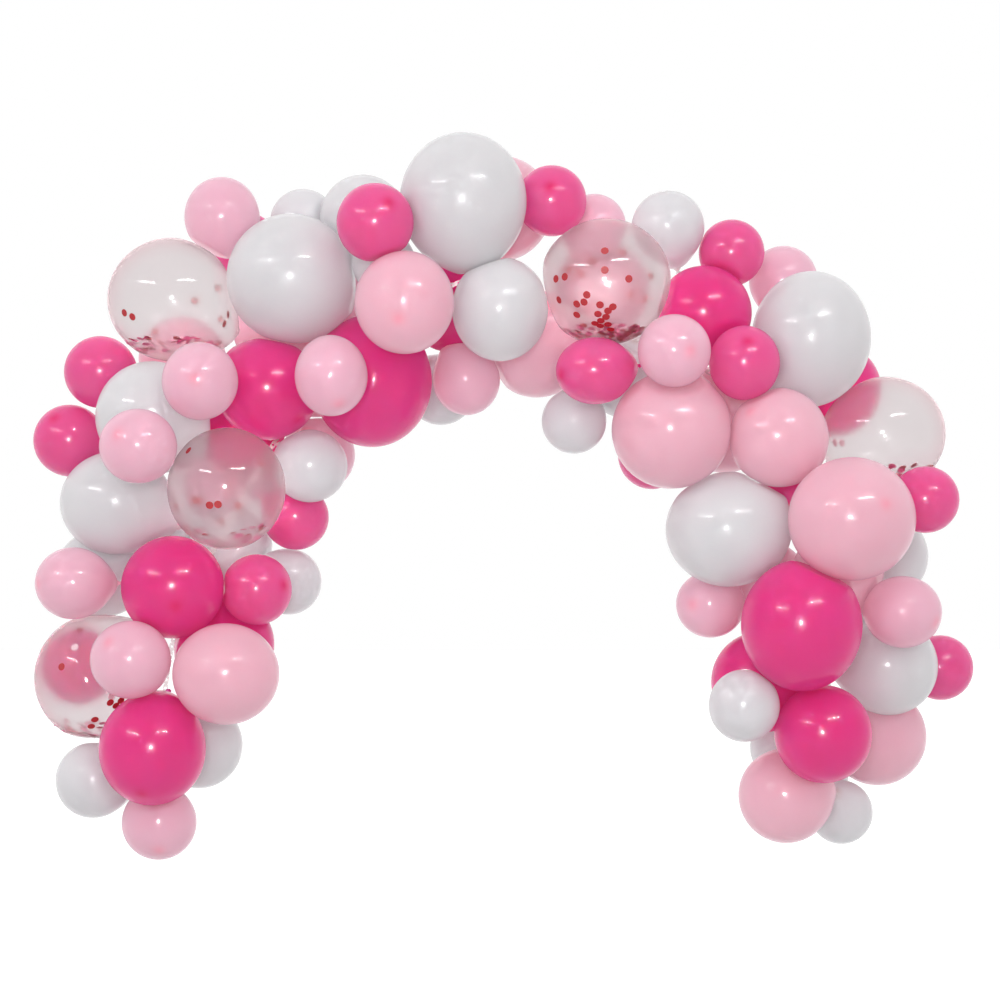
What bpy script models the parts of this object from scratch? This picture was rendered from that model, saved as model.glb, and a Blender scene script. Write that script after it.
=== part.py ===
"""Balloon garland arch: latex balloons in hot pink, light pink, white and clear on a clear plastic strip.

Units are metres, +Z is up, +X is to the right seen from the front and the front faces -Y.
The origin is the crown of the strip, where the arch is hung.
"""
import math

import bmesh
import bpy
from mathutils import Vector

CM = 0.01

# The layout is an elevation, drawn as an eye straight in front of the arch sees it
EYE_DISTANCE = 6.0
EYE_HEIGHT = -0.575

# How close two balloons press together, as a share of their two radii
PRESSED = 0.96
PRESSED_IN_NODE = 0.92

# Share of the way back to its drawn depth that a balloon springs in each round of settling
SPRING_BACK = 0.006
SETTLE_ROUNDS = 500

# Share of what is short in depth that each balloon of a pair makes up in a round of settling
PUSH = 0.25
LINK_PULL = 0.45

# Clearance that a balloon keeps from the dividing plane between it and its neighbour
HALF_GAP = 0.0002

# A tied balloon runs out towards its neck
NECK_REACH = 0.17
NECK_SHOULDER = 0.05

# A faceted ball is drawn a little over size, so that its facets straddle the true surface
SMALL_CUTS, SMALL_OVERSIZE = 1, 1.035
LARGE_CUTS, LARGE_OVERSIZE = 2, 1.015
LARGE_DIAMETER = 31.8 * CM

STRIP_WIDTH = 0.012
STRIP_THICKNESS = 0.001
STRIP_STEPS = 3
STRIP_ROOM = 0.007
THREAD_ROUNDS = 300

HOT, LIGHT, WHITE, CLEAR = "hot_pink", "light_pink", "white", "clear"
FINISHES = {
    HOT: ((0.76, 0.045, 0.18, 1.0), 0.25),
    LIGHT: ((0.83, 0.39, 0.46, 1.0), 0.3),
    WHITE: ((0.70, 0.65, 0.66, 1.0), 0.3),
    CLEAR: ((0.72, 0.68, 0.68, 0.45), 0.15),
    "strip": ((0.85, 0.85, 0.82, 0.5), 0.2),
}

# Centre line of the garland, where the necks gather: across, depth and height in centimetres
STRIP_ROUTE = [
    (-86, 3, -131),
    (-84, 3, -108),
    (-80, 3, -84),
    (-77, 3, -60),
    (-70, 3, -38),
    (-57, 3, -16),
    (-40, 3, -4),
    (-20, 2, -2),
    (0, 0, 0),
    (24, 2, -6),
    (46, 3, -16),
    (64, 3, -30),
    (76, 3, -48),
    (81, 3, -68),
    (82, 3, -90),
    (83, 3, -110),
    (80, 3, -128),
]
CROWN = 8

# Each balloon: node, colour, across, height, width, tallness, depth, and the offset of its
# nipple from its middle where the nipple shows. All in centimetres, as the eye sees them.
# Balloons of one node are of one colour and press on each other, so they are one solid.
BALLOONS = [
    ("left_foot_hot_pink", HOT, -86.9, -119.8, 26.6, 28.0, -6, (-2.9, -11.3)),
    ("left_foot_pink", LIGHT, -85.2, -138.1, 18.6, 18.5, -5, (0.0, -7.1)),
    ("left_foot_white_outer", WHITE, -101.7, -127.5, 18.5, 18.8, -2, None),
    ("left_foot_white_inner", WHITE, -75.1, -118.7, 21.4, 21.6, 8, None),
    ("left_knee_clear", CLEAR, -100.7, -101.9, 31.0, 31.6, -2, (-7.0, -13.0)),
    ("left_knee_hot_pink_behind_clear", HOT, -105.0, -99.2, 18.5, 18.5, 20, None),
    ("left_knee_pink_front", LIGHT, -92.4, -97.4, 20.0, 19.5, -18, (-5.6, 4.4)),
    ("left_knee_pink_outer", LIGHT, -106.7, -78.3, 18.9, 18.0, -6, (-9.0, 0.0)),
    ("left_knee_hot_pink_trio", HOT, -81.8, -79.3, 25.7, 25.7, -10, (0.6, -4.8)),
    ("left_knee_pink_inner", LIGHT, -68.5, -101.0, 26.6, 25.3, -8, None),
    ("left_knee_hot_pink_trio", HOT, -60.8, -79.9, 17.5, 17.7, -6, (6.8, 1.1)),
    ("left_knee_hot_pink_trio", HOT, -69.2, -93.6, 25.5, 25.5, 10, None),
    ("left_knee_white_trio", WHITE, -52.9, -77.9, 16.5, 16.5, 4, None),
    ("left_knee_white_trio", WHITE, -67.4, -69.5, 21.0, 21.0, 8, None),
    ("left_knee_white_trio", WHITE, -83.5, -68.0, 18.0, 18.0, 16, None),
    ("left_shoulder_hot_pink_inner", HOT, -51.0, -61.8, 16.4, 16.4, 4, None),
    ("left_shoulder_clear", CLEAR, -68.4, -54.6, 29.5, 30.5, -12, None),
    ("left_shoulder_white_inner", WHITE, -47.5, -49.0, 18.7, 18.2, -2, None),
    ("left_shoulder_pink_trio", LIGHT, -45.4, -46.2, 18.3, 18.5, 10, None),
    ("left_shoulder_pink_trio", LIGHT, -59.0, -50.0, 17.0, 17.0, 20, None),
    ("left_shoulder_pink_trio", LIGHT, -71.0, -54.5, 16.0, 16.0, 14, None),
    ("left_shoulder_pink_front", LIGHT, -90.5, -44.0, 19.3, 18.7, -20, (-5.2, 3.0)),
    ("left_shoulder_white_trio", WHITE, -96.0, -58.2, 27.7, 25.8, -4, None),
    ("left_shoulder_white_trio", WHITE, -87.0, -36.8, 28.0, 28.0, -8, None),
    ("left_shoulder_white_trio", WHITE, -100.0, -75.8, 22.0, 22.0, 8, None),
    ("left_shoulder_hot_pink_outer", HOT, -107.6, -42.6, 17.9, 17.9, 0, (-3.8, 5.8)),
    ("left_shoulder_hot_pink_high", HOT, -99.9, -25.5, 18.0, 18.0, 2, None),
    ("left_top_pink_front", LIGHT, -75.0, -27.8, 19.0, 19.5, -18, (-1.2, 0.8)),
    ("left_top_clear", CLEAR, -81.8, -7.5, 32.4, 31.0, -4, None),
    ("left_top_pink_low", LIGHT, -79.5, -22.2, 21.5, 21.5, 12, None),
    ("left_top_pink_high", LIGHT, -69.5, 13.2, 18.7, 20.0, -2, None),
    ("left_top_hot_pink_high", HOT, -63.8, 6.0, 17.0, 17.0, 12, None),
    ("left_top_white_cluster", WHITE, -52.2, -2.1, 32.2, 32.2, -8, None),
    ("left_top_white_cluster", WHITE, -49.2, 12.0, 16.5, 16.5, 8, None),
    ("left_top_white_cluster", WHITE, -34.2, 13.0, 21.6, 21.6, 4, None),
    ("left_top_white_cluster", WHITE, -29.2, 2.0, 16.0, 16.0, 4, None),
    ("left_top_pink_trio", LIGHT, -56.2, -15.0, 21.0, 21.0, 10, None),
    ("left_top_pink_trio", LIGHT, -39.4, -8.8, 18.0, 18.0, 10, None),
    ("left_top_pink_trio", LIGHT, -46.0, -28.0, 18.0, 18.0, 20, None),
    ("left_top_hot_pink_trio", HOT, -58.0, -29.8, 25.5, 25.5, -8, (7.5, -7.5)),
    ("left_top_hot_pink_trio", HOT, -65.0, -38.8, 22.5, 22.5, 8, None),
    ("left_top_hot_pink_trio", HOT, -32.0, -27.8, 30.0, 33.0, 0, None),
    ("left_top_pink_small", LIGHT, -42.2, -26.5, 18.2, 20.1, -16, (2.0, -7.0)),
    ("crown_hot_pink_left", HOT, -31.2, 11.9, 19.3, 19.7, -10, (3.4, 5.1)),
    ("crown_white", WHITE, -9.2, 17.3, 31.7, 34.1, -8, None),
    ("crown_pink_back", LIGHT, 0.0, 15.5, 26.0, 26.0, 14, None),
    ("crown_hot_pink_right", HOT, 12.9, 17.3, 17.5, 17.7, 0, (-0.4, 3.5)),
    ("crown_pink_front", LIGHT, -23.9, -8.1, 24.9, 25.8, -14, (-1.6, -4.2)),
    ("crown_white_low", WHITE, 0.0, -9.8, 24.0, 26.0, -12, None),
    ("crown_hot_pink_low", HOT, -12.5, -9.5, 22.0, 22.0, 8, None),
    ("crown_white_inner", WHITE, -14.8, -30.0, 17.5, 17.5, 10, None),
    ("crown_pink_quartet", LIGHT, -8.4, -27.5, 16.8, 17.6, 4, None),
    ("crown_pink_quartet", LIGHT, 9.2, -19.0, 25.8, 25.8, 6, None),
    ("crown_pink_quartet", LIGHT, 23.5, 11.0, 16.0, 16.0, 8, None),
    ("crown_pink_quartet", LIGHT, 25.5, -5.0, 23.0, 23.0, 14, None),
    ("right_top_clear", CLEAR, 26.4, -2.9, 32.8, 31.5, -6, None),
    ("right_top_white", WHITE, 42.0, 10.8, 18.2, 18.0, -5, (-1.9, 8.6)),
    ("right_top_hot_pink_front", HOT, 23.7, -25.2, 19.5, 16.8, -8, (-8.5, -1.0)),
    ("right_top_white_pair", WHITE, 18.5, -37.8, 16.2, 16.2, 2, None),
    ("right_top_white_pair", WHITE, 30.5, -26.0, 21.5, 21.5, 6, None),
    ("right_top_hot_pink_trio", HOT, 51.0, -10.8, 23.8, 23.8, -2, None),
    ("right_top_hot_pink_trio", HOT, 57.9, 4.4, 16.4, 16.4, 4, None),
    ("right_top_hot_pink_trio", HOT, 61.1, -23.2, 17.8, 18.6, -12, (0.9, 5.3)),
    ("right_top_pink", LIGHT, 70.8, -2.5, 17.0, 17.0, 6, None),
    ("right_shoulder_white", WHITE, 77.8, -17.0, 29.6, 33.4, -8, None),
    ("right_shoulder_pink_quartet", LIGHT, 42.8, -40.0, 29.8, 29.4, -6, None),
    ("right_shoulder_pink_quartet", LIGHT, 43.6, -20.2, 18.3, 18.3, -14, (4.0, 0.0)),
    ("right_shoulder_pink_quartet", LIGHT, 56.0, -37.2, 27.0, 27.0, 8, None),
    ("right_shoulder_pink_quartet", LIGHT, 69.6, -41.8, 24.8, 24.8, -8, (-7.0, 6.5)),
    ("right_shoulder_hot_pink_low", HOT, 38.0, -46.3, 17.0, 17.0, 10, None),
    ("right_shoulder_clear", CLEAR, 96.0, -41.0, 30.4, 28.6, 2, None),
    ("right_shoulder_hot_pink_back", HOT, 83.5, -30.0, 23.5, 23.5, 14, None),
    ("right_knee_pink_cluster", LIGHT, 88.0, -62.2, 31.7, 30.9, -12, (8.5, 3.8)),
    ("right_knee_hot_pink_outer", HOT, 106.4, -57.4, 16.7, 16.7, 0, None),
    ("right_knee_white_inner", WHITE, 57.1, -64.9, 31.4, 28.6, -4, None),
    ("right_knee_hot_pink_back", HOT, 73.8, -57.5, 20.0, 20.0, 5, None),
    ("right_knee_pink_cluster", LIGHT, 66.2, -77.5, 20.0, 20.0, 8, None),
    ("right_knee_pink_cluster", LIGHT, 52.6, -83.6, 17.2, 16.6, 6, (-4.5, 0.0)),
    ("right_knee_white_trio", WHITE, 96.2, -71.5, 21.5, 21.5, 14, None),
    ("right_knee_white_trio", WHITE, 92.0, -85.5, 21.0, 21.0, 16, None),
    ("right_knee_hot_pink_trio", HOT, 75.4, -88.8, 30.2, 33.0, -8, None),
    ("right_knee_hot_pink_trio", HOT, 65.4, -103.0, 25.2, 25.2, 6, None),
    ("right_knee_hot_pink_trio", HOT, 80.8, -116.0, 24.3, 24.5, -8, None),
    ("right_knee_pink_cluster", LIGHT, 100.8, -85.5, 19.2, 18.0, -6, (8.3, -2.6)),
    ("right_knee_pink_cluster", LIGHT, 84.5, -76.0, 23.0, 23.0, 6, None),
    ("right_knee_white_trio", WHITE, 97.1, -99.0, 24.5, 24.5, 0, None),
    ("right_foot_hot_pink_outer", HOT, 110.1, -99.4, 16.2, 16.2, 6, None),
    ("right_foot_pink_back", LIGHT, 94.2, -116.5, 24.5, 24.5, 8, None),
    ("right_foot_white_front", WHITE, 61.0, -108.9, 17.6, 18.1, -12, None),
    ("right_foot_white_trio", WHITE, 70.2, -119.5, 15.4, 15.4, 10, None),
    ("right_foot_white_trio", WHITE, 78.0, -126.2, 18.0, 18.0, 12, None),
    ("right_foot_pink", LIGHT, 71.4, -131.4, 23.5, 23.5, 0, None),
    ("right_foot_white_trio", WHITE, 85.2, -135.5, 15.8, 15.8, 8, None),
]


class Balloon:
    """One balloon: where the eye sees it, and where it lies once the cluster has settled."""

    def __init__(self, node, colour, across, height, width, tallness, depth, nipple):
        self.node = node
        self.colour = colour
        self.seen = Vector((across, 0.0, height)) * CM
        self.seen_half_width = width / 2 * CM
        self.seen_half_height = tallness / 2 * CM
        self.layer = depth
        self.depth = depth * CM
        self.seen_nipple = nipple
        self.place()

    def place(self):
        """Lies on its line of sight: further back it is larger and further out than it looks."""
        scale = 1 + self.depth / EYE_DISTANCE
        self.centre = Vector((
            self.seen.x * scale,
            self.depth,
            EYE_HEIGHT + (self.seen.z - EYE_HEIGHT) * scale,
        ))
        self.half_width = self.seen_half_width * scale
        self.half_height = self.seen_half_height * scale
        self.half_depth = (self.half_width + self.half_height) / 2
        self.radius = self.half_depth

    def reach(self, direction):
        """Distance from the middle to the skin of the plain egg shape along a unit direction."""
        return 1 / math.sqrt(
            (direction.x / self.half_width) ** 2
            + (direction.y / self.half_depth) ** 2
            + (direction.z / self.half_height) ** 2
        )


def elevation_gap(one, other):
    """Distance between two middles in the elevation."""
    return math.hypot(one.centre.x - other.centre.x, one.centre.z - other.centre.z)


def linked_pairs(balloons):
    """Within a node each balloon is linked to the nearest one that is linked already."""
    nodes = {}
    for balloon in balloons:
        nodes.setdefault(balloon.node, []).append(balloon)
    links = set()
    for members in nodes.values():
        linked, loose = members[:1], members[1:]
        while loose:
            mate, balloon = min(
                ((one, other) for one in linked for other in loose),
                key=lambda pair: elevation_gap(*pair) / (pair[0].radius + pair[1].radius),
            )
            links.add(frozenset((mate, balloon)))
            linked.append(balloon)
            loose.remove(balloon)
    return links


def settle(balloons):
    """Presses the balloons on each other in depth alone, so that the elevation stays as drawn."""
    links = linked_pairs(balloons)
    for _ in range(SETTLE_ROUNDS):
        for index, one in enumerate(balloons):
            for other in balloons[index + 1:]:
                linked = frozenset((one, other)) in links
                apart = (PRESSED_IN_NODE if linked else PRESSED) * (one.radius + other.radius)
                across = elevation_gap(one, other)
                if across >= apart and not linked:
                    continue
                needed = math.sqrt(max(apart * apart - across * across, 0.0))
                front, back = (one, other) if one.layer < other.layer else (other, one)
                short = needed - (back.depth - front.depth)
                if short > 0 or linked:
                    front.depth -= short * (LINK_PULL if linked else PUSH)
                    back.depth += short * (LINK_PULL if linked else PUSH)
        for balloon in balloons:
            balloon.depth += (balloon.layer * CM - balloon.depth) * SPRING_BACK
            balloon.place()


def smooth_route():
    """Points along a Catmull-Rom curve through the strip's route, and the crown's place among them."""
    points = [Vector(point) * CM for point in STRIP_ROUTE]
    ends = [2 * points[0] - points[1]] + points + [2 * points[-1] - points[-2]]
    route = []
    for before, start, end, after in zip(ends, ends[1:], ends[2:], ends[3:]):
        for step in range(STRIP_STEPS):
            t = step / STRIP_STEPS
            route.append(0.5 * (
                2 * start
                + (end - before) * t
                + (2 * before - 5 * start + 4 * end - after) * t * t
                + (3 * start - before - 3 * end + after) * t ** 3
            ))
    route.append(points[-1])
    return route, CROWN * STRIP_STEPS


def thread_strip(balloons):
    """The strip's course: it slips between the balloons, and stays put at the crown."""
    route, crown = smooth_route()
    for _ in range(THREAD_ROUNDS):
        for index, point in enumerate(route):
            if index == crown:
                continue
            for balloon in balloons:
                away = point - balloon.centre
                short = balloon.radius + STRIP_ROOM - away.length
                if short > 0:
                    point += away.normalized() * short / 2
        eased = [
            before / 4 + point / 2 + after / 4
            for before, point, after in zip(route, route[1:], route[2:])
        ]
        pinned = route[crown].copy()
        route[1:-1] = eased
        route[crown] = pinned
    return route


def neck_direction(balloon, route):
    """Towards the neck: away from the nipple where it shows, otherwise towards the strip."""
    if balloon.seen_nipple is None:
        nearest = min(route, key=lambda point: (point - balloon.centre).length)
        return (nearest - balloon.centre).normalized()
    x = balloon.seen_nipple[0] * CM / balloon.half_width
    z = balloon.seen_nipple[1] * CM / balloon.half_height
    y = -math.sqrt(max(1 - x * x - z * z, 0.0))
    return -Vector((x, y, z)).normalized()


def nearest_on_segment(point, start, end):
    """The point of a straight run that lies nearest to a given point."""
    run = end - start
    share = (point - start).dot(run) / run.length_squared
    return start + run * min(max(share, 0.0), 1.0)


def dividing_planes(balloon, balloons, route, oversize):
    """Planes that the balloon stays behind, each as a unit normal and its distance from the middle."""
    planes = []
    for other in balloons:
        if other is balloon or other.node == balloon.node:
            continue
        towards = other.centre - balloon.centre
        gap = towards.length
        if gap > 1.4 * (balloon.radius + other.radius):
            continue
        towards.normalize()
        own = balloon.reach(towards) * oversize
        theirs = other.reach(-towards) * oversize
        planes.append((towards, (gap * gap + own * own - theirs * theirs) / (2 * gap) - HALF_GAP))
    for start, end in zip(route, route[1:]):
        towards = nearest_on_segment(balloon.centre, start, end) - balloon.centre
        gap = towards.length
        if gap < 1.6 * balloon.radius:
            planes.append((towards / gap, gap - STRIP_ROOM))
    return planes


def unit_ball(cuts):
    """A geodesic ball of radius 1 with a corner at -Z."""
    ball = bmesh.new()
    bmesh.ops.create_icosphere(ball, subdivisions=1, radius=1.0)
    bmesh.ops.subdivide_edges(ball, edges=ball.edges, cuts=cuts, use_grid_fill=True)
    bmesh.ops.triangulate(ball, faces=ball.faces)
    for vertex in ball.verts:
        vertex.co.normalize()
    return ball


def balloon_mesh(balloon, balloons, route):
    """A blown-up balloon, drawn out towards its neck and flattened where others press on it."""
    large = max(balloon.half_width, balloon.half_height) * 2 > LARGE_DIAMETER
    cuts, oversize = (LARGE_CUTS, LARGE_OVERSIZE) if large else (SMALL_CUTS, SMALL_OVERSIZE)
    neck = neck_direction(balloon, route)
    turn = Vector((0, 0, -1)).rotation_difference(neck)
    planes = dividing_planes(balloon, balloons, route, oversize)
    ball = unit_ball(cuts)
    for vertex in ball.verts:
        direction = turn @ vertex.co
        facing = max(direction.dot(neck), 0.0)
        drawn_out = 1 + NECK_REACH * facing ** 14 + NECK_SHOULDER * facing ** 3
        distance = balloon.reach(direction) * oversize * drawn_out
        for normal, limit in planes:
            slope = normal.dot(direction)
            if slope > 1e-6:
                distance = min(distance, limit / slope)
        vertex.co = balloon.centre + direction * distance
    mesh = bpy.data.meshes.new(balloon.node)
    ball.to_mesh(mesh)
    ball.free()
    return mesh


def strip_mesh(route):
    """A flat ribbon along the strip's course, with its width square to the view from the front."""
    ribbon = bmesh.new()
    rings = []
    for index, point in enumerate(route):
        before = route[max(index - 1, 0)]
        after = route[min(index + 1, len(route) - 1)]
        along = (after - before).normalized()
        side = along.cross(Vector((0, 1, 0))).normalized() * STRIP_WIDTH / 2
        face = side.cross(along).normalized() * STRIP_THICKNESS / 2
        corners = (side + face, side - face, -side - face, -side + face)
        rings.append([ribbon.verts.new(point + corner) for corner in corners])
    for ring, following in zip(rings, rings[1:]):
        for corner in range(4):
            beside = (corner + 1) % 4
            ribbon.faces.new((ring[corner], ring[beside], following[beside], following[corner]))
    ribbon.faces.new(rings[0])
    ribbon.faces.new(reversed(rings[-1]))
    bmesh.ops.triangulate(ribbon, faces=ribbon.faces)
    bmesh.ops.recalc_face_normals(ribbon, faces=ribbon.faces)
    mesh = bpy.data.meshes.new("balloon_strip")
    ribbon.to_mesh(mesh)
    ribbon.free()
    return mesh


def finish_material(name):
    """One Principled material for a colour of latex or for the strip."""
    colour, roughness = FINISHES[name]
    material = bpy.data.materials.new(name)
    material.use_nodes = True
    shader = material.node_tree.nodes["Principled BSDF"]
    shader.inputs["Base Color"].default_value = colour
    shader.inputs["Roughness"].default_value = roughness
    shader.inputs["Alpha"].default_value = colour[3]
    return material


def add_object(name, mesh, material):
    """Puts a mesh in the scene under a name, with its material."""
    piece = bpy.data.objects.new(name, mesh)
    bpy.context.scene.collection.objects.link(piece)
    mesh.materials.append(material)
    mesh.shade_smooth()
    return piece


def join_pressed(piece, partners):
    """Unites balloons that press on each other into the one solid of their node."""
    for partner in partners:
        partner.hide_render = True
        partner.display_type = "WIRE"
        partner.parent = piece
        union = piece.modifiers.new("union", "BOOLEAN")
        union.operation = "UNION"
        union.solver = "EXACT"
        union.object = partner


def build():
    """Builds the arch: one object for each node of balloons, and the strip."""
    for thing in list(bpy.data.objects):
        bpy.data.objects.remove(thing)
    materials = {name: finish_material(name) for name in FINISHES}
    balloons = [Balloon(*row) for row in BALLOONS]
    settle(balloons)
    route = thread_strip(balloons)
    nodes = {}
    for balloon in balloons:
        nodes.setdefault(balloon.node, []).append(balloon)
    for node, members in nodes.items():
        pieces = []
        for number, balloon in enumerate(members):
            name = node if number == 0 else f"{node}_partner_{number}"
            mesh = balloon_mesh(balloon, balloons, route)
            pieces.append(add_object(name, mesh, materials[balloon.colour]))
        join_pressed(pieces[0], pieces[1:])
    add_object("balloon_strip", strip_mesh(route), materials["strip"])
    return balloons, route


if __name__ == "__main__":
    build()
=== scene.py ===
"""Looks of the balloon garland arch: skins with necks and knots, confetti, strip, light and camera.

Units are metres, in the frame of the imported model: +X right, -Y front, +Z up, origin at the crown.
"""
import math
import random

import bpy
import numpy as np
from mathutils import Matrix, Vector


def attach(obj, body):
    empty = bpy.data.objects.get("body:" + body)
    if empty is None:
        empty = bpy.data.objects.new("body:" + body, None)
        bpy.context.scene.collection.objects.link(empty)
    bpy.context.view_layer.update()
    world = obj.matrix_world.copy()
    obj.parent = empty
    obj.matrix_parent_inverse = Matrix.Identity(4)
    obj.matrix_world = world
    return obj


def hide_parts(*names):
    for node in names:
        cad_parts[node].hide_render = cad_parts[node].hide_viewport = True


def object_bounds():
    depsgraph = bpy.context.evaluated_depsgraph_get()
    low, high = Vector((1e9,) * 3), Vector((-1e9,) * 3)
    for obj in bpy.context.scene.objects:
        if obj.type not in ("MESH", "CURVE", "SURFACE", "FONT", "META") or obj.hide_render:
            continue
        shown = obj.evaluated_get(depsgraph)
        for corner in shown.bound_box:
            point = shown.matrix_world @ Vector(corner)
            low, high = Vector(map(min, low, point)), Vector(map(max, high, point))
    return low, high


CM = 0.01

# The layout is an elevation, drawn as an eye straight in front of the arch sees it
EYE_DISTANCE = 6.0
EYE_HEIGHT = -0.575

# How close the middles of two pressed balloons come, as a share of their two radii
PRESSED = 0.96
PRESSED_IN_NODE = 0.92

# Share of the way back to its drawn depth that a balloon springs in each round of settling
SPRING_BACK = 0.006
SETTLE_ROUNDS = 500

# Share of what is short in depth that each balloon of a pair makes up in a round of settling, and of
# a pair that is linked within its node
PUSH = 0.25
LINK_PULL = 0.45

# Half the gap between two pressed skins, and how softly an opaque and a clear one bend into a flat
HALF_GAP = 0.0004
PRESS_ROUNDING = 0.007
CLEAR_ROUNDING = 0.03

# Share of the overlap of two pressed balloons that the one behind yields, so the front one stays round
YIELD = 1.0

# Neighbours further off than this don't press on a skin, in radii of both balloons or of the one
BALLOON_NEARBY = 1.8
STRIP_NEARBY = 1.6

# A flat bounds the skin only in directions that lean towards it by at least this cosine. In the
# others the bound is written as this many metres.
LEAST_LEAN = 0.02
UNBOUNDED = 10.0

# A tied balloon is drawn out towards its neck: by what share of its radius, and the power that keeps
# that close to the neck
NECK_REACH = 0.17
NECK_REACH_POWER = 14
NECK_SHOULDER = 0.05
NECK_SHOULDER_POWER = 3

# The strip: its width, the points on each stretch of its route, the room it keeps to a skin, and
# how often it is moved clear of the balloons and eased
STRIP_WIDTH = 0.012
STRIP_STEPS = 3
STRIP_ROOM = 0.007
THREAD_ROUNDS = 300

HOT, LIGHT, WHITE, CLEAR = "hot_pink", "light_pink", "white", "clear"

# Centre line of the garland, where the necks gather: across, depth and height in centimetres
STRIP_ROUTE = [
    (-86, 3, -131),
    (-84, 3, -108),
    (-80, 3, -84),
    (-77, 3, -60),
    (-70, 3, -38),
    (-57, 3, -16),
    (-40, 3, -4),
    (-20, 2, -2),
    (0, 0, 0),
    (24, 2, -6),
    (46, 3, -16),
    (64, 3, -30),
    (76, 3, -48),
    (81, 3, -68),
    (82, 3, -90),
    (83, 3, -110),
    (80, 3, -128),
]

# Number of the route's point that is the crown
CROWN = 8

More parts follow.
